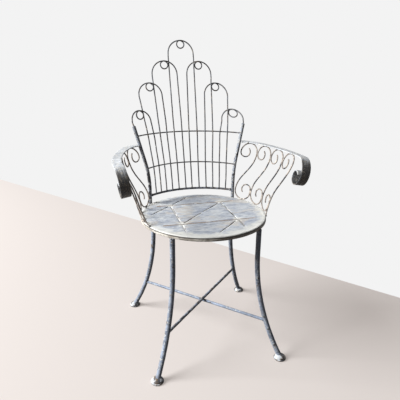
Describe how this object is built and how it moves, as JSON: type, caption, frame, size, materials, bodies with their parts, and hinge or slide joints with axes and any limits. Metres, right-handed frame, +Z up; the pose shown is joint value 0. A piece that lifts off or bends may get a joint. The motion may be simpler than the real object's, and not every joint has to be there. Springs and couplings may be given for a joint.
{
  "type": "wrought iron garden armchair",
  "caption": "Weathered garden armchair with a fan of looped wire hoops for a back, rolled strap arms on S-scrolls, a round pressed seat and flared legs on domed feet.",
  "frame": {"origin": "on the floor, under the middle of the chair's outline seen from above", "axes": "+Z up, +Y towards the chair's back, +X towards the sitter's left when seated, which is the right side seen from the front"},
  "size_m": [0.5772, 0.5858, 0.9963],
  "materials": {
    "seat_paint": "worn matt blue-grey paint with cream and brown streaks",
    "iron_paint": "dark iron under rubbed and peeling pale paint, with rust",
    "wire_paint": "dark iron wire with chipped cream paint and rust",
    "strap_paint": "pale grey paint rubbed through to dark mottled iron",
    "cream_paint": "chipped cream paint"
  },
  "bodies": {
    "root": {"seat_plate": "seat_paint", "seat_ring": "iron_paint", "leg_front_left": "iron_paint", "leg_front_right": "iron_paint", "leg_back_left": "iron_paint", "leg_back_right": "iron_paint", "foot_front_left": "cream_paint", "foot_front_right": "cream_paint", "foot_back_left": "cream_paint", "foot_back_right": "cream_paint", "stretcher_lower": "iron_paint", "stretcher_upper": "iron_paint", "post_left": "iron_paint", "post_right": "iron_paint", "bottom_rail": "iron_paint", "lower_crossbar": "iron_paint", "upper_crossbar": "iron_paint", "hoop_middle": "wire_paint", "hoop_left_1": "wire_paint", "hoop_left_2": "wire_paint", "hoop_left_3": "wire_paint", "hoop_right_1": "wire_paint", "hoop_right_2": "wire_paint", "hoop_right_3": "wire_paint", "arm_strap_left": "strap_paint", "arm_strap_right": "strap_paint", "scroll_left_1": "wire_paint", "scroll_left_2": "wire_paint", "scroll_left_3": "wire_paint", "scroll_left_4": "wire_paint", "scroll_right_1": "wire_paint", "scroll_right_2": "wire_paint", "scroll_right_3": "wire_paint", "scroll_right_4": "wire_paint"}
  },
  "joints": []
}
